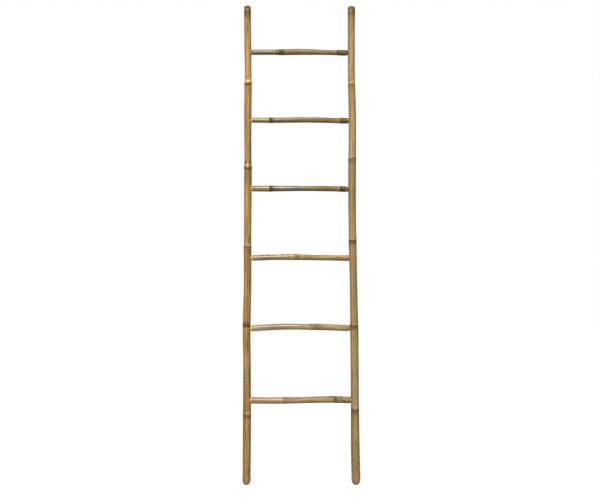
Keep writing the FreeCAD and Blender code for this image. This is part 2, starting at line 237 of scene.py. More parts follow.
# A rung's places are counted from the ladder's middle towards the left pole, which is towards its
# tip, and its lists hold (place, value).
#   reach      from the ladder's middle to its pole's middle line, left and right
#   tenon      the girth of its shaved ends
#   shoulder   how long the slope from a tenon to the full cane is, left and right
#   rise       how far above its height its middle line runs
#   tone and faded are as on a pole, and shine is how strong its varnish is, where 1 is its bamboo's own.
RUNGS = {
    "rung_1": {
        "height": 1715, "left_reach": 212.0, "right_reach": 199.2, "tenon": 9.0,
        "left_shoulder": 12, "right_shoulder": 13, "finish": "dark", "faded": 0.0,
        "rise": [(-184, -1.4), (-154, -0.7), (-20, 2.2), (82, 1.0), (188, 0.5)],
        "girth": [(-184, 11.8), (-160, 11.7), (-144, 10.6), (-20, 12.0), (74, 11.9), (92, 10.7), (188, 10.6)],
        "knuckles": [
            Knuckle(-147, swell=0.6, dip=-9, spread=80, wave=0.9, stain=1.0, reach=16, lip=0.3, line=0.8),
            Knuckle(91, swell=0.6, tilt=2, dip=5, facing=30, wave=1.8, stain=1.0, reach=27, lip=0.0, line=0.5,
                    second=7, faint=0.7),
        ],
        "tone": [(-200, 0.84), (-158, 0.88), (-144, 1.28), (-70, 1.0), (0, 0.84), (60, 0.68), (72, 0.7),
                 (88, 1.2), (104, 0.72), (150, 0.66), (200, 0.56)],
        "shine": [(-158, 0.1), (-146, 0.2), (-138, 0.9), (20, 0.9), (62, 1.1), (72, 0.2), (98, 0.2),
                  (108, 1.9), (200, 2.0)],
    },
    "rung_2": {
        "height": 1445, "left_reach": 212.2, "right_reach": 202.6, "tenon": 9.0,
        "left_shoulder": 4, "right_shoulder": 13, "finish": "dark", "faded": 0.0,
        "rise": [(-187, -1.0), (-153, -0.3), (-38, 2.5), (120, 0.8), (188, 1.0)],
        "girth": [(-187, 11.9), (-160, 11.8), (-146, 10.6), (-38, 11.3), (112, 10.9), (128, 10.8),
                  (188, 10.5)],
        "knuckles": [
            Knuckle(-152, swell=0.5, wave=0.8, stain=0.7, reach=40, lip=0.6, line=0.5),
            Knuckle(127, swell=0.6, tilt=2, wave=1.3, stain=1.0, reach=19, lip=0.5, line=0.5),
        ],
        "tone": [(-200, 0.9), (-156, 0.94), (-148, 0.9), (-110, 0.72), (-60, 1.1), (-30, 1.05), (0, 0.84),
                 (40, 0.76), (60, 0.76), (84, 0.56), (110, 0.58), (130, 1.4), (140, 1.24), (200, 1.25)],
        "shine": [(-152, 0.1), (-40, 0.5), (0, 1.0), (60, 1.5), (110, 1.9), (116, 0.2), (128, 0.2),
                  (134, 1.9), (200, 1.6)],
    },
    "rung_3": {
        "height": 1174, "left_reach": 212.1, "right_reach": 202.7, "tenon": 9.0,
        "left_shoulder": 12, "right_shoulder": 13, "finish": "dark", "faded": 0.0,
        "rise": [(-187, -1.1), (-152, -0.2), (-40, 1.9), (120, 0.7), (188, 0.7)],
        "girth": [(-187, 12.0), (-160, 11.9), (-146, 11.0), (-40, 11.5), (112, 11.8), (128, 12.1),
                  (188, 11.9)],
        "knuckles": [
            Knuckle(-152, swell=0.5, wave=0.7, stain=0.9, reach=36, lip=1.0, line=1.0),
            Knuckle(125, swell=0.6, tilt=1, dip=-3, wave=1.3, stain=1.0, reach=16, lip=0.8, line=0.8),
        ],
        "tone": [(-200, 0.8), (-156, 1.0), (-148, 0.94), (-90, 0.62), (-40, 0.64), (20, 0.44), (60, 0.56),
                 (110, 0.56), (130, 1.65), (142, 1.42), (200, 1.48)],
        "shine": [(-152, 0.1), (-80, 0.35), (-40, 1.4), (0, 2.3), (40, 2.4), (70, 2.0), (108, 1.5),
                  (115, 0.2), (126, 0.2), (134, 1.6), (200, 1.7)],
    },
    "rung_4": {
        "height": 900, "left_reach": 213.2, "right_reach": 205.1, "tenon": 9.0,
        "left_shoulder": 16, "right_shoulder": 4, "finish": "pale", "faded": 0.0,
        "rise": [(-189, -0.3), (-62, 1.3), (23, 3.4), (115, 2.0), (189, -0.2)],
        "girth": [(-189, 12.4), (-62, 11.3), (17, 12.4), (30, 12.6), (115, 11.3), (189, 11.8)],
        "knuckles": [
            Knuckle(26, swell=0.4, tilt=-2, wave=1.4, stain=0.4, reach=28, lip=0.55, line=0.35),
        ],
        "tone": [(-200, 1.12), (-110, 1.0), (-60, 0.78), (-14, 0.74), (8, 1.06), (34, 0.92), (60, 0.76),
                 (106, 0.88), (154, 0.78), (178, 1.2), (200, 1.2)],
        "shine": [(-150, 0.4), (-10, 0.6), (10, 0.2), (24, 0.2), (32, 1.4), (100, 1.6), (140, 1.6),
                  (200, 1.0)],
    },
    "rung_5": {
        "height": 621, "left_reach": 216.5, "right_reach": 210.1, "tenon": 9.0,
        "left_shoulder": 14, "right_shoulder": 11, "finish": "pale", "faded": 0.0,
        "rise": [(-192, 0.6), (-100, 4.4), (-44, 5.4), (90, 5.4), (192, -0.6)],
        "girth": [(-192, 13.1), (-100, 13.0), (-50, 13.0), (-38, 12.7), (90, 12.6), (192, 12.3)],
        "knuckles": [
            Knuckle(-34, swell=0.35, tilt=5, wave=2.4, stain=0.35, reach=46, lip=0.5, line=0.3, second=-33,
                    faint=0.4),
        ],
        "tone": [(-200, 1.0), (-90, 1.02), (-60, 1.05), (-38, 1.35), (-14, 1.0), (35, 0.9), (100, 0.93),
                 (200, 1.12)],
        "shine": [(-200, 0.5), (-90, 0.4), (-76, 0.1), (-40, 0.1), (-20, 1.0), (10, 2.1), (40, 2.3),
                  (80, 1.5), (200, 1.3)],
    },
    "rung_6": {
        "height": 336, "left_reach": 215.8, "right_reach": 212.7, "tenon": 11.5,
        "left_shoulder": 5, "right_shoulder": 4, "finish": "pale", "faded": 0.15,
        "rise": [(-193, 0.4), (-134, 2.3), (-14, -0.2), (69, -1.5), (120, -2.4), (193, -1.2)],
        "girth": [(-193, 14.0), (-142, 14.1), (-126, 14.0), (-14, 12.8), (62, 13.6), (76, 13.7), (120, 13.4),
                  (193, 13.6)],
        "knuckles": [
            Knuckle(-128, swell=0.5, tilt=6, wave=1.0, stain=0.6, reach=17, lip=0.1, line=0.35),
            Knuckle(72, swell=0.4, tilt=1, wave=1.0, stain=0.3, reach=24, lip=0.3, line=0.25),
        ],
        "tone": [(-200, 1.0), (-170, 0.9), (-150, 0.86), (-132, 1.06), (-60, 0.96), (-20, 0.87), (30, 0.94),
                 (80, 1.22), (94, 1.06), (200, 1.02)],
        "shine": [(-200, 0.2), (-140, 0.2), (-110, 0.2), (35, 0.3), (52, 0.3), (70, 0.2), (78, 1.5),
                  (200, 1.3)],
    },
}

# How far a rung goes past its pole's middle line, and how much of its tenon shows outside the pole.
TENON_PAST_MIDDLE = 4.0
SHOULDER_GAP = 0.8
# A shoulder's outline, as (share of its length, share of the way from the tenon to the full girth).
SHOULDER_OUTLINE = [(0.0, 0.0), (0.18, 0.5), (0.5, 0.82), (1.0, 1.0)]
# How bare the wood of a rung's right shoulder looks, where 1 is as bare as the left one's.
RIGHT_SHOULDER_BARE = 0.1
# A pole's ends: the girth of the flat under its foot, the height of the rounding over that, the
# rounding of its tip, and how far down from the tip its end grain's colour goes.
FOOT_FLAT = 4.5
FOOT_DOME = 22.0
TIP_ROUNDING = 9.5
SAWN_REACH = 22.0
# Farther than this from its ring, a knuckle leaves the skin plain.
PLAIN_BEYOND = 72.0
# Each rung's patterns lie this much farther along than the last one's, so that no two are alike,
# and the seed steps do the same for the unevenness of the canes' shapes.
NEXT_RUNG = 1000
POLE_SEED_STEP = 3.7
RUNG_SEED_STEP = 11.3

# The points along a cane: how far apart they are where it is busy and where it is plain, how fast
# they spread out between, and how far a busy stretch goes to either side of its middle. The middle
# of a shoulder's stretch is SHOULDER_FROM_END inside the rung's end.
CLOSE_POINTS = 0.7
WIDE_POINTS = 5.0
SPREAD_OUT = 0.25
RING_BUSY = 16
FOOT_BUSY = 24
TIP_BUSY = 12
RIGHT_SHOULDER_BUSY = 16
LEFT_SHOULDER_BUSY = 18
SHOULDER_FROM_END = 24
POLE_SIDES = 64
RUNG_SIDES = 48

# A brad's seat: how far inside the pole's middle line, and how deep under the pole's back.
BRAD_FROM_MIDDLE = 1.5
BRAD_SUNK = 0.8
# A brad's outline from crown to point, as (how far out from its seat, radius).
BRAD_OUTLINE = [(1.32, 0.05), (1.30, 0.55), (1.22, 1.05), (1.08, 1.45), (0.88, 1.75), (0.62, 1.90),
                (0.25, 1.90), (0.06, 1.78), (0.0, 1.5), (-0.02, 0.9), (-4.0, 0.9), (-19.8, 0.9),
                (-21.2, 0.5), (-22.0, 0.12)]


# ------------------------------------------------------------------ lines that the canes follow
def flow(knots, place, keep_between=False):
    """A smooth curve through knots. keep_between never lets it pass the knots on either side."""
    if place <= knots[0][0]:
        return knots[0][1]
    if place >= knots[-1][0]:
        return knots[-1][1]
    slopes = [(b[1] - a[1]) / (b[0] - a[0]) for a, b in zip(knots, knots[1:])]
    index = max(i for i in range(len(slopes)) if knots[i][0] <= place)

    def lean(i):
        if i == 0 or i == len(slopes):
            return slopes[min(i, len(slopes) - 1)]
        before, after = slopes[i - 1], slopes[i]
        if keep_between:
            return 0.0 if before * after <= 0 else 2 * before * after / (before + after)
        near = knots[i][0] - knots[i - 1][0]
        far = knots[i + 1][0] - knots[i][0]
        return (before * far + after * near) / (near + far)

    (x0, y0), (x1, y1) = knots[index], knots[index + 1]
    span = x1 - x0
    t = (place - x0) / span
    start, end = lean(index) * span, lean(index + 1) * span
    return ((2 * t - 3) * t * t + 1) * y0 + ((t - 2) * t + 1) * t * start + \
        (3 - 2 * t) * t * t * y1 + (t - 1) * t * t * end


def spaced(first, last, busy):
    """Places from first to last: close together in each busy (place, reach), and wider apart off it."""
    places = [first]
    while places[-1] < last:
        off = min(abs(places[-1] - place) - reach for place, reach in busy)
        places.append(places[-1] + min(WIDE_POINTS, CLOSE_POINTS + SPREAD_OUT * max(0.0, off)))
    places[-1] = last
    return places


def line_mesh(name, points):
    """A line of points, each a dictionary of what the cane is like there."""
    mesh = bpy.data.meshes.new(name)
    mesh.from_pydata([point["centre"] for point in points], [(i, i + 1) for i in range(len(points) - 1)], [])
    for key, value in points[0].items():
        several = isinstance(value, tuple)
        layer = mesh.attributes.new(key, "FLOAT_VECTOR" if several else "FLOAT", "POINT")
        for spot, point in zip(layer.data, points):
            if several:
                spot.vector = point[key]
            else:
                spot.value = point[key]
    return mesh


def knuckle_looks(knuckles, place):
    """What a point takes from the knuckle that it is nearest to, and a plain skin far from any."""
    near = min(knuckles, key=lambda knuckle: abs(knuckle.place - place))
    if abs(near.place - place) > PLAIN_BEYOND:
        near = near._replace(swell=0.0, bud=0.0, stain=0.0, lip=0.0, line=0.0, faint=0.0)
    return {
        "from_ring": (place - near.place) * MM,
        "relief": (near.swell * MM, near.wave * MM, near.tilt * MM),
        "scar": (near.dip * MM, math.radians(near.facing), math.radians(near.spread)),
        "twig": near.bud * MM,
        "tint": (near.stain, near.reach * MM, near.lip),
        "rings": (near.line, near.second * MM, near.faint),
    }


def busy_places(knuckles):
    return [(knuckle.place, RING_BUSY + abs(knuckle.second) + abs(knuckle.dip)) for knuckle in knuckles]


def pole_girth(pole, height):
    return flow(POLES[pole]["girth"], height, keep_between=True)


def pole_line(pole):
    shape = POLES[pole]
    top = shape["height"]
    busy = busy_places(shape["knuckles"]) + [(0, FOOT_BUSY), (top, TIP_BUSY)]
    points = []
    for height in spaced(0.0, top, busy):
        girth = pole_girth(pole, height)
        if height < FOOT_DOME:
            up = 1 - height / FOOT_DOME
            girth = FOOT_FLAT + (girth - FOOT_FLAT) * math.sqrt(1 - up * up)
        if height > top - TIP_ROUNDING:
            up = 1 - (top - height) / TIP_ROUNDING
            girth -= TIP_ROUNDING * (1 - math.sqrt(1 - up * up))
        point = {
            "centre": (flow(shape["middle"], height) * MM, 0.0, height * MM),
            "girth": girth * MM,
            "along": height * MM,
            "tone": flow(shape["tone"], height, keep_between=True),
            "faded": flow(shape["faded"], height, keep_between=True),
            "shine": 1.0,
            "shaved": 0.0,
            "sawn": max(0.0, 1 - (top - height) / SAWN_REACH),
        }
        point.update(knuckle_looks(shape["knuckles"], height))
        points.append(point)
    return line_mesh(pole + "_line", points)


def linear_taper(pole, height):
    """The pole's radius as its sockets take it."""
    root, tip = POLES[pole]["taper"]
    return root + (tip - root) * height / LADDER_HEIGHT


def shoulder(rung, place, end):
    """How far a rung's end has been shaved down at a place: 1 on the tenon and 0 past the shoulder."""
    shape = RUNGS[rung]
    pole = end + "_pole"
    into = shape[end + "_reach"] - abs(place) - linear_taper(pole, shape["height"]) - SHOULDER_GAP
    share = into / shape[end + "_shoulder"]
    return 1 - flow(SHOULDER_OUTLINE, share, keep_between=True)


def rung_line(rung, number):
    shape = RUNGS[rung]
    first = -(shape["right_reach"] + TENON_PAST_MIDDLE)
    last = shape["left_reach"] + TENON_PAST_MIDDLE
    busy = busy_places(shape["knuckles"]) + [(first + SHOULDER_FROM_END, RIGHT_SHOULDER_BUSY),
                                             (last - SHOULDER_FROM_END, LEFT_SHOULDER_BUSY)]
    points = []
    for place in spaced(first, last, busy):
        shaved = shoulder(rung, place, "left" if place > 0 else "right")
        full = flow(shape["girth"], place, keep_between=True)
        rise = flow(shape["rise"], place)
        point = {
            "centre": (-place * MM, 0.0, (shape["height"] + rise * (1 - shaved)) * MM),
            "girth": (full + (shape["tenon"] - full) * shaved) * MM,
            "along": (place + NEXT_RUNG * number) * MM,
            "tone": flow(shape["tone"], place, keep_between=True),
            "faded": shape["faded"],
            "shine": flow(shape["shine"], place, keep_between=True),
            "shaved": shaved if place > 0 else RIGHT_SHOULDER_BARE * shaved,
            "sawn": 0.0,
        }
        point.update(knuckle_looks(shape["knuckles"], place))
        points.append(point)
    return line_mesh(rung + "_line", points)


def brad_seats():
    """Where the brads' heads sit: in the back of each pole, behind each rung's end."""
    seats = []
    for rung in RUNGS.values():
        for pole, shape in POLES.items():
            across = shape["side"] * (rung[pole.split("_")[0] + "_reach"] - BRAD_FROM_MIDDLE)
            back = math.sqrt(pole_girth(pole, rung["height"]) ** 2 - BRAD_FROM_MIDDLE ** 2)
            seats.append((across * MM, (back - BRAD_SUNK) * MM, rung["height"] * MM))
    return seats


def brad_line(seats):
    """A brad's outline as a line of points, and a loose point for each seat."""
    outline = [{"centre": (0.0, out * MM, 0.0), "girth": radius * MM, "seat": 0.0}
               for out, radius in BRAD_OUTLINE]
    mesh = line_mesh("brad_line", outline)
    mesh.vertices.add(len(seats))
    for index, seat in enumerate(seats, start=len(outline)):
        mesh.vertices[index].co = seat
        mesh.attributes["seat"].data[index].value = 1.0
    return mesh


# ------------------------------------------------------------------ trees that make the pieces
# Keeps an arc cosine within its range.
JUST_UNDER_ONE = 0.9999
# A full turn in radians, to the nearest hundredth.
FULL_TURN = 6.28


def open_tree(name, inputs):
    """A tree with named inputs that gives back one geometry."""
    tree = bpy.data.node_groups.new(name, "GeometryNodeTree")
    for label, kind, value in inputs:
        socket = tree.interface.new_socket(label, in_out="INPUT", socket_type="NodeSocket" + kind)
        if value is not None:
            socket.default_value = value
    tree.interface.new_socket("Geometry", in_out="OUTPUT", socket_type="NodeSocketGeometry")
    bench = Bench(tree)
    gate = tree.nodes.new("NodeGroupInput")
    given = {socket.name: Wire(bench, socket) for socket in gate.outputs if socket.name}
    return bench, given


def close_tree(bench, geometry, material):
    """Make the instances real, smooth the faces and give them their material."""
    real = bench.add("GeometryNodeRealizeInstances", None, {0: geometry})
    smooth = bench.add("GeometryNodeSetShadeSmooth", None, {0: real, 2: True})
    dressed = bench.add("GeometryNodeSetMaterial", None, {0: smooth, 2: material})
    end = bench.tree.nodes.new("NodeGroupOutput")
    bench.tree.links.new(dressed.socket, end.inputs[0])
    return bench.tree


def read(bench, name, vector=False):
    return bench.add("GeometryNodeInputNamedAttribute", {"data_type": "FLOAT_VECTOR" if vector else "FLOAT"},
                     {0: name})


def keep(bench, geometry, name, value, vector=False):
    settings = {"data_type": "FLOAT_VECTOR" if vector else "FLOAT", "domain": "POINT"}
    return bench.add("GeometryNodeStoreNamedAttribute", settings, {0: geometry, 2: name, 3: value})


def sweep(bench, line, sides):
    """A closed tube round a line of points, as thick as their girth."""
    curve = bench.add("GeometryNodeMeshToCurve", None, {0: line})
    ring = bench.add("GeometryNodeCurvePrimitiveCircle", {"mode": "RADIUS"}, {0: sides, 4: 1.0})
    return bench.add("GeometryNodeCurveToMesh", None, {0: curve, 1: ring, 2: read(bench, "girth"), 3: True})


def cane_tree():
    """A cane: a tube with its scar rings, ridges and trimmed buds, a little out of round."""
    bench, given = open_tree("cane", [
        ("Middle Line", "Geometry", None), ("Sides", "Int", 48), ("Sideways", "Vector", (1, 0, 0)),
        ("Ring Width", "Float", 0.9 * MM), ("Ridge Width", "Float", 3.6 * MM),
        ("Bud Width", "Float", 5.8 * MM), ("Bud Length", "Float", 12.0 * MM),
        ("Bud Past Ring", "Float", 8.0 * MM), ("Unevenness", "Float", 0.022),
        ("Seed", "Float", 0.0), ("Bamboo", "Material", None)])
    tube = sweep(bench, given["Middle Line"], given["Sides"])
    position = bench.add("GeometryNodeInputPosition")
    outward = bench.vector("NORMALIZE", bench.vector("SUBTRACT", position, read(bench, "centre", True)))
    front = bench.dot(outward, (0.0, -1.0, 0.0))
    side = bench.dot(outward, given["Sideways"])
    girth = read(bench, "girth")
    along = read(bench, "along")
    from_ring = read(bench, "from_ring")
    swell, wave, tilt = bench.split(read(bench, "relief", True))
    dip, facing, spread = bench.split(read(bench, "scar", True))
    line, second, faint = bench.split(read(bench, "rings", True))
    twig = read(bench, "twig")
    shaved = read(bench, "shaved")

    towards = front * bench.sum("COSINE", facing) + side * bench.sum("SINE", facing)
    off = bench.sum("ARCCOSINE", towards * JUST_UNDER_ONE)
    drop = dip * bench.sum("MAXIMUM", 1.0 - off / spread, 0.0)
    round_it = bench.combine(front * 1.7, side * 1.7, along * 4.0 + given["Seed"])
    ripple = bench.noise(round_it, 1.0, 2.0) - 0.5
    gap = from_ring - tilt * side + drop + wave * ripple * 4.0

    # the scar ring, the soft rise on its root side, the ridge on its tip side, and a second ring
    ring = bench.bell(gap, -1.0 * given["Ring Width"], given["Ring Width"])
    under = bench.bell(gap, -4.0 * given["Ring Width"], 4.0 * given["Ring Width"])
    ridge = bench.bell(gap, 1.1 * given["Ridge Width"], given["Ridge Width"])
    other_ring = bench.bell(gap, second, given["Ring Width"]) * faint
    bud_across = off * girth / given["Bud Width"] + 1.6 * ripple
    bud_along = (from_ring - given["Bud Past Ring"]) / given["Bud Length"]
    bud = bench.sum("EXPONENT", -(bud_across * bud_across + bud_along * bud_along)) * \
        bench.step(twig, 0.0, 0.5 * MM)
    relief = swell * (ring * 0.9 + under * 0.3 + ridge * 0.8 + other_ring * 0.6)
    lumps = bench.noise(bench.combine(front * 0.8, side * 0.8, along * 7.0 + given["Seed"]), 1.0, 1.0) - 0.5
    relief = (relief + girth * given["Unevenness"] * lumps) * (1.0 - shaved) + twig * bud
    moved = bench.add("GeometryNodeSetPosition", None,
                      {0: tube, 3: bench.vector("MULTIPLY", outward, bench.combine(relief, relief, relief))})
    moved = keep(bench, moved, "cane", bench.combine(side * girth, front * girth, along), True)
    moved = keep(bench, moved, "gap", gap)
    moved = keep(bench, moved, "bud", bud)
    return close_tree(bench, moved, given["Bamboo"])


def brad_tree():
    """Brads: one turned from its outline's line and set at every seat, each turned its own way."""
    bench, given = open_tree("brads", [
        ("Outline and Seats", "Geometry", None), ("Sides", "Int", 28), ("Dents", "Float", 0.06 * MM),
        ("Dents to a Metre", "Float", 900.0), ("Seed", "Int", 4), ("Steel", "Material", None)])
    is_seat = bench.sum("GREATER_THAN", read(bench, "seat"), 0.5)
    apart = bench.add("GeometryNodeSeparateGeometry", {"domain": "POINT"},
                      {0: given["Outline and Seats"], 1: is_seat})
    brad = sweep(bench, apart.other("Inverted"), given["Sides"])
    position = bench.add("GeometryNodeInputPosition")
    dent = (bench.noise(position, given["Dents to a Metre"], 1.0) - 0.5) * given["Dents"]
    brad = bench.add("GeometryNodeSetPosition", None, {0: brad, 3: bench.combine(dent, dent, dent)})
    spin = bench.add("FunctionNodeRandomValue", {"data_type": "FLOAT"},
                     {2: 0.0, 3: FULL_TURN, 8: given["Seed"]}, out=1)
    set_in = bench.add("GeometryNodeInstanceOnPoints", None,
                       {0: apart, 2: brad, 5: bench.combine(0.0, spin, 0.0)})
    return close_tree(bench, set_in, given["Steel"])


def make(name, mesh, tree, slot, **inputs):
    """Run a tree on a mesh, keep what comes out as a plain mesh, and let it ride on the ladder."""
    piece = bpy.data.objects.new(name, mesh)
    bpy.context.scene.collection.objects.link(piece)
    modifier = piece.modifiers.new("shape", "NODES")
    modifier.node_group = tree
    for item in tree.interface.items_tree:
        key = item.name.lower().replace(" ", "_")
        if item.in_out == "INPUT" and key in inputs:
            modifier[item.identifier] = inputs[key]
    shown = piece.evaluated_get(bpy.context.evaluated_depsgraph_get())
    solid = bpy.data.meshes.new_from_object(shown)
    solid.name = name
    piece.modifiers.clear()
    piece.data = solid
    work = bmesh.new()
    work.from_mesh(solid)
    bmesh.ops.recalc_face_normals(work, faces=work.faces)
    work.to_mesh(solid)
    work.free()
    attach(piece, "root")
    return piece


# ------------------------------------------------------------------ finishes
# A bamboo's looks. The first eight are colours.
#   light and deep      the skin's own two            streak   its dark fibres and flecks
#   stain, line, lip    a knuckle's root side, its ring and its tip side
#   shaved              bare wood                     end      the end grain at a sawn tip
#   streaks, mottle     how strong its streaks and its flecks are
#   lip_reach           how many millimetres a lip goes
#   varnish             its coat's weight
#   sides               painted shade: how much darker it is made on its two sides than on its front and back, a rung's sides being its top and underside
Bamboo = namedtuple("Bamboo",
                    "light deep streak stain line lip shaved end streaks mottle lip_reach varnish sides")
# The gloss settings that are the same all over every cane.
GLOSS = {"Specular IOR Level": 0.12, "Coat Roughness": 0.3, "Coat IOR": 1.6}
# How bright each part of a colour looks, and the red and blue of faded skin against its green.
BRIGHTNESS = (0.3, 0.6, 0.1)
STRAW_RED = 1.2
STRAW_BLUE = 0.72
# Keeps a division away from zero.
NOT_ZERO = 1e-8
# What an attribute is read as: the number of its output.
AS_VECTOR = 1
AS_NUMBER = 2

BAMBOOS = {
    "left_pole_bamboo": Bamboo(
        light=paint(235, 185, 105), deep=paint(186, 138, 69), streak=paint(108, 73, 31),
        stain=paint(106, 70, 34), line=paint(40, 25, 12), lip=paint(244, 204, 130),
        shaved=paint(230, 192, 126), end=paint(92, 76, 58),
        streaks=0.95, mottle=0.7, lip_reach=12.0, varnish=0.16, sides=0.34),
    "right_pole_bamboo": Bamboo(
        light=paint(204, 175, 118), deep=paint(176, 145, 88), streak=paint(118, 88, 46),
        stain=paint(122, 86, 42), line=paint(74, 50, 24), lip=paint(220, 192, 138),
        shaved=paint(230, 192, 126), end=paint(104, 78, 52),
        streaks=0.65, mottle=0.55, lip_reach=6.0, varnish=0.16, sides=0.28),
    "dark_rung_bamboo": Bamboo(
        light=paint(187, 157, 94), deep=paint(130, 103, 51), streak=paint(71, 52, 21),
        stain=paint(80, 57, 24), line=paint(40, 27, 12), lip=paint(206, 178, 120),
        shaved=paint(230, 192, 122), end=paint(128, 98, 66),
        streaks=0.75, mottle=0.45, lip_reach=3.0, varnish=0.5, sides=0.32),
    "pale_rung_bamboo": Bamboo(
        light=paint(203, 176, 124), deep=paint(163, 134, 84), streak=paint(100, 76, 40),
        stain=paint(104, 73, 36), line=paint(62, 42, 22), lip=paint(222, 197, 148),
        shaved=paint(234, 198, 130), end=paint(128, 98, 66),
        streaks=0.6, mottle=0.4, lip_reach=3.0, varnish=0.48, sides=0.32),
}

# Single marks on the canes, as (place, bearing, half width, half length, strength). On a rung,
# NEXT_RUNG is added to the place for each rung from the top, so 4962 is at -38 on rung 5.
MARKS = {
    "left_pole_bamboo": [
        (1560, 18, 3.0, 26.0, 0.55), (1245, 22, 3.0, 22.0, 0.6), (1540, 30, 2.2, 12.0, 0.4),
        (636, -25, 7.0, 6.0, 0.9), (630, 40, 5.0, 5.0, 0.7), (905, 35, 2.6, 22.0, 0.5),
        (918, 5, 3.0, 7.0, 0.6), (275, 20, 6.0, 4.5, 0.8), (264, -18, 2.4, 3.0, 0.8),
        (246, 6, 2.2, 3.0, 0.8), (232, 20, 2.4, 4.0, 0.7), (190, 8, 2.4, 16.0, 0.45),
        (560, 15, 2.6, 24.0, 0.5), (1874, 24, 5.0, 3.0, 0.9), (1872, -30, 3.0, 3.0, 0.8),
        (1855, 42, 3.0, 30.0, 0.7), (1277, -48, 7.0, 7.0, 0.9), (1278, 46, 7.0, 6.0, 0.8),
        (1255, -44, 5.0, 4.0, 0.8), (1255, 40, 6.0, 4.0, 0.8), (1588, -52, 7.0, 5.0, 0.9),
        (1588, 44, 7.0, 5.0, 0.9), (637, 8, 12.0, 5.0, 0.9), (942, -54, 6.0, 4.0, 0.9),
        (942, 52, 6.0, 4.0, 0.9), (926, -54, 6.0, 8.0, 0.8), (926, 50, 6.0, 8.0, 0.8),
    ],
    "right_pole_bamboo": [
        (1878, 22, 6.0, 8.0, 0.8), (1860, 44, 4.0, 24.0, 0.7), (1688, 5, 1.8, 2.4, 0.9),
        (1345, -2, 1.8, 2.2, 0.9), (1235, -1, 1.8, 2.2, 0.9), (167, 6, 4.4, 7.5, 1.0),
        (72, 14, 4.4, 8.0, 0.8), (88, 30, 4.4, 8.0, 0.8), (52, 24, 4.0, 6.0, 0.7),
        (112, 36, 3.6, 10.0, 0.6), (150, 30, 3.0, 12.0, 0.5), (30, 4, 3.0, 4.0, 0.6),
        (745, 34, 2.2, 2.6, 0.7), (520, 30, 1.8, 2.2, 0.7), (1163, 12, 2.4, 3.0, 0.8),
        (240, 10, 2.4, 14.0, 0.4), (1420, 8, 1.8, 2.2, 0.8), (668, 60, 5.0, 40.0, 1.0),
        (590, 58, 5.0, 50.0, 0.9), (1312, 62, 3.5, 14.0, 0.8), (640, -58, 4.0, 12.0, 0.6),
        (1262, 50, 3.0, 26.0, 0.5), (300, 50, 4.0, 9.0, 0.8),
    ],
    "pale_rung_bamboo": [
        (5866, 46, 9.0, 7.0, 1.0), (5862, 6, 7.0, 4.5, 1.0), (4962, 60, 5.0, 5.0, 0.9),
        (4938, 30, 4.0, 7.0, 0.6), (5832, -20, 6.0, 10.0, 0.6), (5820, -50, 6.0, 20.0, 0.8),
        (4946, 5, 3.0, 5.0, 0.6), (4926, -10, 4.0, 4.0, 0.5), (6064, 60, 3.0, 5.0, 0.8),
        (6060, 20, 2.4, 5.0, 0.6), (4014, 10, 4.0, 6.0, 0.6), (4010, -30, 5.0, 5.0, 0.5),
        # the two marks at bearing -42 on the next line are painted shade on rung 4's lower front
        (5840, 30, 3.0, 8.0, 0.5), (4120, -42, 6.0, 60.0, 0.55), (3975, -42, 6.0, 30.0, 0.35),
    ],
    "dark_rung_bamboo": [
        (1084, 60, 4.0, 5.0, 0.8), (1078, 10, 4.0, 6.0, 0.7), (838, -20, 5.0, 8.0, 0.6),
        # the marks at bearing -42 on this line and the next two are painted shade on the lower fronts of
        # rungs 3, 1 and 2
        (2836, -20, 5.0, 6.0, 0.7), (2838, 40, 3.0, 5.0, 0.7), (3012, -42, 6.5, 60.0, 0.95),
        (1136, -42, 6.0, 62.0, 0.8), (1005, -3, 2.8, 72.0, 0.45), (2050, -2, 2.8, 72.0, 0.5),
        (2112, -42, 6.0, 60.0, 0.4),
    ],
}
# How far from its cane's middle line a mark lies.
POLE_MARK_DEPTH = 15.5
RUNG_MARK_DEPTH = 12.5


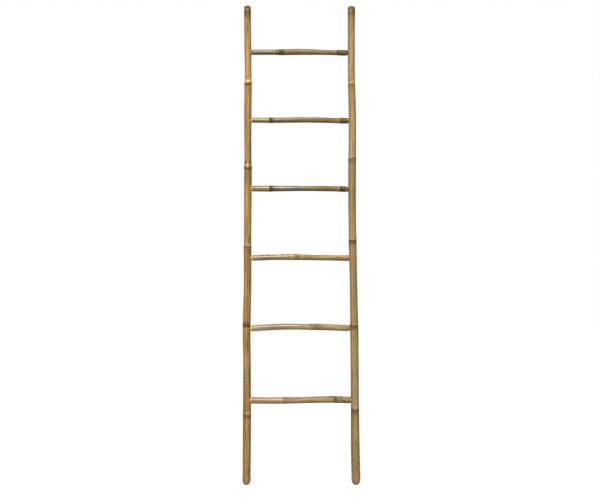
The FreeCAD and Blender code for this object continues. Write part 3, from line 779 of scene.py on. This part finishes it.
def bamboo(name):
    """Varnished bamboo: fibres, clouds and streaks, a stain and a pale lip at each ring, single marks (the
    long ones at bearing -42 on the rungs are painted shade on their lower fronts), a trimmed bud's torn rim,
    bare shaved wood, a sawn tip's end grain, and painted shade on its sides."""
    look = BAMBOOS[name]
    material = bpy.data.materials.new(name)
    material.use_nodes = True
    bench = Bench(material.node_tree)
    shader = material.node_tree.nodes["Principled BSDF"]

    def told(attribute, out=AS_NUMBER):
        return bench.add("ShaderNodeAttribute", {"attribute_name": attribute}, out=out)

    cane = told("cane", AS_VECTOR)
    gap = told("gap")
    bud = told("bud")
    tone = told("tone")
    shaved = told("shaved")
    sawn = told("sawn")
    stain, reach, lip = bench.split(told("tint", AS_VECTOR))
    line, second, faint = bench.split(told("rings", AS_VECTOR))

    def drawn(across, along, detail=2.0, roughness=0.5):
        """Noise drawn out along the fibres: so many to the metre across and along."""
        return bench.noise(bench.vector("MULTIPLY", cane, (across, across, along)), 1.0, detail, roughness)

    broad = drawn(60, 3.2, 2.0)
    narrow = drawn(230, 8.0, 3.0, 0.6)
    fibre = drawn(1300, 24.0, 2.0, 0.6)
    cloud = drawn(34, 14.0, 3.0, 0.6)
    fleck = drawn(330, 150.0, 2.0)

    # the skin with its streaks, its flecks and its fibres
    skin = bench.mix(bench.step(broad * 0.6 + cloud * 0.4, 0.40, 0.60), look.deep, look.light)
    streaks = bench.step(narrow, 0.50, 0.66) * look.streaks
    skin = bench.mix(streaks * (0.35 + 0.65 * bench.step(cloud, 0.38, 0.62)), skin, look.streak)
    mottle = bench.step(fleck * 0.65 + cloud * 0.35, 0.53, 0.62) * look.mottle
    skin = bench.mix(mottle * 0.7, skin, look.streak)
    skin = bench.mix((fibre - 0.5) * 0.7 + 0.12, skin, look.streak)

    # the stain on a ring's root side, and the lip on its tip side
    below = bench.step(gap, -1.1 * reach, -0.4 * reach) * (1.0 - bench.step(gap, -0.6 * MM, 0.6 * MM))
    ragged = bench.step(narrow * 0.6 + cloud * 0.4, 0.34, 0.56)
    skin = bench.mix(below * stain * (0.5 + 0.5 * ragged), skin, look.stain)
    above = bench.step(gap, 0.2 * MM, 1.4 * MM) * \
        (1.0 - bench.step(gap, 0.5 * look.lip_reach * MM, 1.6 * look.lip_reach * MM))
    skin = bench.mix(above * lip * (0.5 + 0.5 * bench.step(broad, 0.3, 0.6)), skin, look.lip)

    # single marks; the long ones at bearing -42 on the rungs are painted shade on their lower fronts
    out = POLE_MARK_DEPTH if "pole" in name else RUNG_MARK_DEPTH
    for place, bearing, wide, tall, strength in MARKS[name]:
        turn = math.radians(bearing)
        spot = (math.sin(turn) * out * MM, math.cos(turn) * out * MM, place * MM)
        shrink = (1 / (wide * MM), 1 / (wide * MM), 1 / (tall * MM))
        shift = bench.vector("MULTIPLY", bench.vector("SUBTRACT", cane, spot), shrink)
        apart = bench.vector("LENGTH", shift, out=1) + (narrow - 0.5) * 1.2
        skin = bench.mix((1.0 - bench.step(apart, 0.45, 1.15)) * strength, skin, look.stain)

    # the rings' own dark lines, and a trimmed bud with its torn rim
    no_bud = 1.0 - bench.step(bud, 0.15, 0.4)
    dark = bench.bell(gap, -1.7 * MM, 2.1 * MM) * line + bench.bell(gap, second, 1.8 * MM) * faint
    skin = bench.mix(dark * no_bud * 0.92, skin, look.line)
    torn = bud + 1.5 * (fleck - 0.5)
    skin = bench.mix(bench.step(torn, 0.3, 0.5) * 0.85, skin, look.lip)
    skin = bench.mix(bench.bell(torn, 0.22, 0.08) * bench.step(bud, 0.05, 0.2) * 0.7, skin, look.line)
    skin = bench.mix(bench.bell(torn, 0.68, 0.06) * 0.5, skin, look.stain)

    # bare wood where a rung is shaved
    bare = bench.mix(bench.step(narrow, 0.4, 0.7) * 0.5, look.shaved, look.deep)
    skin = bench.mix(bench.step(shaved, 0.1, 0.75) * 0.85, skin, bare)

    # painted shade on its two sides (on a rung, its top and underside), the tone along the cane, and what has
    # faded to straw
    sideways, frontal, along = bench.split(cane)
    edge_share_for_painted_shade = sideways * sideways / (sideways * sideways + frontal * frontal + NOT_ZERO)
    tone = tone * (1.0 - look.sides * bench.step(edge_share_for_painted_shade, 0.1, 0.85))
    skin = bench.vector("MULTIPLY", skin, bench.combine(tone, tone, tone))
    brightness = bench.dot(skin, BRIGHTNESS)
    straw = bench.combine(brightness * STRAW_RED, brightness, brightness * STRAW_BLUE)
    skin = bench.mix(told("faded"), skin, straw)

    # a sawn tip's end grain
    pores = bench.step(bench.noise(bench.vector("MULTIPLY", cane, (1.0, 1.0, 0.2)), 1500.0, 1.0), 0.52, 0.6)
    skin = bench.mix(bench.step(sawn + 0.5 * (cloud - 0.5), 0.25, 0.7) * (0.8 + 0.2 * pores), skin, look.end)

    rough = 0.40 + 0.16 * narrow + 0.12 * streaks + 0.2 * shaved + 0.2 * bench.step(sawn, 0.4, 0.8)
    grain = (fibre - 0.5) * 0.10 + (narrow - 0.5) * 0.16 + (fleck - 0.5) * 0.05
    bump = bench.add("ShaderNodeBump", None, {"Strength": 0.4, "Distance": 1.0 * MM, "Height": grain})
    shine = told("shine") * look.varnish * (1.0 - 0.3 * bench.step(broad, 0.45, 0.62)) * (1.0 - 0.6 * shaved)
    for socket, wire in (("Base Color", skin), ("Roughness", rough), ("Normal", bump),
                         ("Coat Weight", shine)):
        material.node_tree.links.new(wire.socket, shader.inputs[socket])
    for socket, value in GLOSS.items():
        shader.inputs[socket].default_value = value
    return material


def nail_steel():
    """Plain nail steel with fine scratches, duller and a little rusty in patches."""
    material = bpy.data.materials.new("nail_steel")
    material.use_nodes = True
    bench = Bench(material.node_tree)
    shader = material.node_tree.nodes["Principled BSDF"]
    place = bench.add("ShaderNodeTexCoord", out="Object")
    grime = bench.step(bench.noise(place, 700.0, 3.0, 0.6), 0.42, 0.62)
    scratch = bench.noise(bench.vector("MULTIPLY", place, (6000.0, 400.0, 900.0)), 1.0, 2.0)
    colour = bench.mix(grime * 0.6, paint(176, 172, 166), paint(104, 84, 66))
    links = material.node_tree.links
    links.new(colour.socket, shader.inputs["Base Color"])
    links.new((0.32 + 0.28 * grime + 0.12 * scratch).socket, shader.inputs["Roughness"])
    links.new((1.0 - 0.45 * grime).socket, shader.inputs["Metallic"])
    bump = bench.add("ShaderNodeBump", None, {"Strength": 0.4, "Distance": 0.1 * MM, "Height": scratch})
    links.new(bump.socket, shader.inputs["Normal"])
    return material


# ------------------------------------------------------------------ the ladder
materials = {name: bamboo(name) for name in BAMBOOS}
cane = cane_tree()
for number, pole in enumerate(POLES):
    piece = make(pole + "_cane", pole_line(pole), cane, pole + "_bamboo", sides=POLE_SIDES,
                 sideways=(1.0, 0.0, 0.0), seed=POLE_SEED_STEP * number, bamboo=materials[pole + "_bamboo"])
    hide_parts(pole)
for number, rung in enumerate(RUNGS, start=1):
    finish = materials[RUNGS[rung]["finish"] + "_rung_bamboo"]
    piece = make(rung + "_cane", rung_line(rung, number), cane, "rung_bamboo", sides=RUNG_SIDES,
                 sideways=(0.0, 0.0, 1.0), seed=RUNG_SEED_STEP * number, bamboo=finish)
    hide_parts(rung)
brads = make("brads", brad_line(brad_seats()), brad_tree(), "brad_steel", steel=nail_steel())
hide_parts(*[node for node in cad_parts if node.startswith("brad_")])


# ------------------------------------------------------------------ studio
WHITE = (1.0, 1.0, 1.0, 1.0)
FILL_LIGHT = 0.05
FLOOR_WHITE = 1.12
# How much of the floor is plain white near the ladder. It becomes all white from NEAR to FAR.
NEAR_WHITE = 0.86
NEAR = 0.5
FAR = 1.5
FLOOR_REACH = 6
LADDER_MIDDLE = (0.0, 0.0, 0.9)


def looked_at(bench):
    """1 for what the camera sees, and for what shows in a shiny or a clear thing."""
    rays = bench.add("ShaderNodeLightPath", out="Is Camera Ray")
    return bench.sum("MAXIMUM", rays, bench.sum("MAXIMUM", rays.other("Is Glossy Ray"),
                                                rays.other("Is Transmission Ray")))


def studio_world():
    """A white backdrop that gives the ladder only a little light."""
    world = bpy.data.worlds.new("studio")
    world.use_nodes = True
    tree = world.node_tree
    tree.nodes.clear()
    bench = Bench(tree)
    seen = looked_at(bench)
    fill = bench.add("ShaderNodeBackground", None, {0: paint(255, 252, 246), 1: FILL_LIGHT})
    white = bench.add("ShaderNodeBackground", None, {0: WHITE, 1: 1.0})
    both = bench.add("ShaderNodeMixShader", None, {0: seen, 1: fill, 2: white})
    out = tree.nodes.new("ShaderNodeOutputWorld")
    tree.links.new(both.socket, out.inputs[0])
    bpy.context.scene.world = world


def studio_floor():
    """A white floor that keeps a little of the ladder's shadow near its feet."""
    mesh = bpy.data.meshes.new("floor")
    corners = [(x * FLOOR_REACH, y * FLOOR_REACH, 0) for x, y in ((-1, -1), (1, -1), (1, 1), (-1, 1))]
    mesh.from_pydata(corners, [], [(0, 1, 2, 3)])
    floor = bpy.data.objects.new("floor", mesh)
    bpy.context.scene.collection.objects.link(floor)
    material = bpy.data.materials.new("pale_floor")
    material.use_nodes = True
    tree = material.node_tree
    tree.nodes.clear()
    bench = Bench(tree)
    seen = looked_at(bench)
    place = bench.add("ShaderNodeTexCoord", out="Object")
    far = bench.step(bench.vector("LENGTH", place, out=1), NEAR, FAR)
    matt = bench.add("ShaderNodeBsdfDiffuse", None, {0: paint(170, 170, 168)})
    white = bench.add("ShaderNodeEmission", None, {0: WHITE, 1: FLOOR_WHITE})
    share = seen * (NEAR_WHITE + (1.0 - NEAR_WHITE) * far)
    both = bench.add("ShaderNodeMixShader", None, {0: share, 1: matt, 2: white})
    out = tree.nodes.new("ShaderNodeOutputMaterial")
    tree.links.new(both.socket, out.inputs[0])
    mesh.materials.append(material)


def lamp(name, place, wide, tall, watts, spread, colour=(1.0, 1.0, 1.0)):
    """A softbox aimed at the ladder's middle. Its beam's spread is in degrees."""
    light = bpy.data.lights.new(name, "AREA")
    light.shape = "RECTANGLE"
    light.size = wide
    light.size_y = tall
    light.energy = watts
    light.spread = math.radians(spread)
    light.color = colour
    shown = bpy.data.objects.new(name, light)
    shown.location = place
    shown.rotation_euler = (Vector(LADDER_MIDDLE) - Vector(place)).to_track_quat("-Z", "Y").to_euler()
    bpy.context.scene.collection.objects.link(shown)


studio_world()
studio_floor()
lamp("key_softbox", (-0.7, -5.0, 5.7), wide=1.6, tall=1.1, watts=36.0, spread=50, colour=(1.0, 0.975, 0.92))
lamp("front_fill", (-1.8, -4.2, 2.2), wide=0.6, tall=2.4, watts=4.6, spread=70, colour=(1.0, 0.985, 0.95))
lamp("back_fill", (0.8, 4.0, 4.4), wide=1.4, tall=1.4, watts=20.0, spread=50)

# The camera looks level at the ladder, from where it fills as much of the picture as in the photograph.
camera = bpy.data.objects.new("camera", bpy.data.cameras.new("camera"))
camera.data.sensor_width = 36.0
camera.data.lens = 50.0
camera.data.clip_end = 60.0
camera.location = (-0.0051, -3.3073, 0.931)
camera.rotation_euler = (math.radians(90), 0.0, 0.0)
bpy.context.scene.collection.objects.link(camera)
bpy.context.scene.camera = camera
bpy.context.scene.view_settings.view_transform = "Standard"
